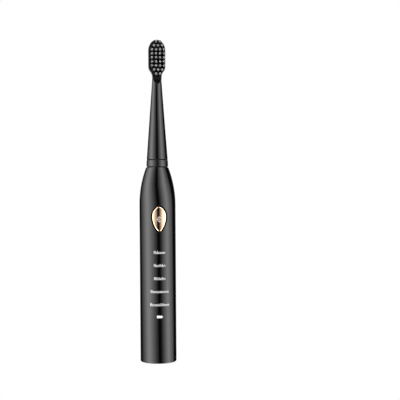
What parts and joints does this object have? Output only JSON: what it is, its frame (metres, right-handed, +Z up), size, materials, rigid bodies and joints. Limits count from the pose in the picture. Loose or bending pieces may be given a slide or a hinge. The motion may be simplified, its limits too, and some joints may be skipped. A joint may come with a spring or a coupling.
{
  "type": "electric toothbrush",
  "caption": "Slim round sonic toothbrush with a tapered push-on brush head on its oscillating shaft, an oval power button and a blind charging well in its base.",
  "frame": {"origin": "centre of the round base, in the plane of its rim", "axes": "+Z up the handle to the brush head, -Y the front with the button and bristles, +X to the viewer's right when facing the front"},
  "size_m": [0.0273, 0.0276, 0.24],
  "materials": {
    "black_gloss": "satin-gloss moulded ABS",
    "black_satin": "fine satin moulding",
    "head_black": "satin-gloss moulded polypropylene",
    "ring_black": "satin-gloss moulded ABS",
    "rose_gold": "rose-gold plated, polished",
    "icon_white": "satin, pale",
    "silicone_black": "matt silicone",
    "silicone_grey": "matt silicone",
    "nylon_white": "moulded nylon",
    "chassis_nylon": "glass-filled nylon",
    "copper": "enamelled copper wire",
    "ferrite": "sintered ferrite",
    "foam": "closed-cell foam",
    "nickel": "nickel-plated steel",
    "sleeve_film": "shrink film",
    "board_green": "solder mask on glass epoxy",
    "screw_steel": "zinc-plated steel",
    "chip_black": "moulded epoxy",
    "ceramic_tan": "fired ceramic",
    "led_white": "clear resin on white base",
    "light_clear": "clear acrylic",
    "lead_red": "silicone-covered wire",
    "can_steel": "drawn steel can",
    "bronze": "sintered bronze",
    "core_iron": "laminated iron",
    "shaft_steel": "ground stainless steel",
    "magnet_nickel": "nickel-plated magnet",
    "washer_steel": "polished steel",
    "bristle_nylon": "nylon filaments, charcoal grey",
    "anchor_steel": "nickel silver strip"
  },
  "bodies": {
    "handle": {"handle_shell": "black_gloss", "base_cap": "black_satin", "base_seal_ring": "silicone_grey", "coil_bobbin": "nylon_white", "charging_coil": "copper", "ferrite_disc": "ferrite", "base_foam_pad": "foam", "chassis": "chassis_nylon", "seal_retainer": "chassis_nylon", "battery_cell": "nickel", "battery_sleeve": "sleeve_film", "battery_tabs": "nickel", "circuit_board": "board_green", "board_screws": "screw_steel", "microcontroller": "chip_black", "board_chips": "chip_black", "board_passives": "ceramic_tan", "charging_choke": "ferrite", "mode_leds": "led_white", "battery_led": "led_white", "light_baffle": "chip_black", "light_guides": "light_clear", "coil_leads": "copper", "motor_leads": "lead_red", "switch_body": "chip_black", "button_membrane": "silicone_black", "motor_can": "can_steel", "motor_rear_bell": "nylon_white", "motor_front_bell": "nylon_white", "rear_bush": "bronze", "front_bush": "bronze", "stator_core": "core_iron", "stator_coils": "copper", "thrust_washers": "washer_steel", "damper_rings": "silicone_grey", "shaft_seal": "silicone_black"},
    "drive": {"drive_shaft": "shaft_steel", "rotor_sleeve": "shaft_steel", "rotor_magnets": "magnet_nickel", "shaft_clip": "screw_steel"},
    "brush_head": {"head_stem": "head_black", "head_ring": "ring_black", "coupling_insert": "chassis_nylon", "grip_clip": "screw_steel", "bristle_tufts": "bristle_nylon", "tuft_anchors": "anchor_steel"},
    "power_button": {"power_button": "rose_gold", "button_icon": "icon_white", "switch_plunger": "nylon_white"}
  },
  "joints": [
    {"name": "shaft_swing", "type": "hinge", "parent": "handle", "child": "drive", "pos_m": [0, 0, 0], "axis": [0, 0, 1], "range_deg": [-5, 5], "stiffness_Nm_per_rad": 0.4},
    {"name": "head_pull_off", "type": "slide", "parent": "drive", "child": "brush_head", "axis": [0, 0, 1], "range_m": [0, 0.03]},
    {"name": "button_press", "type": "slide", "parent": "handle", "child": "power_button", "axis": [0, 1, 0], "range_m": [0, 0.0004], "stiffness_N_per_m": 4000}
  ]
}
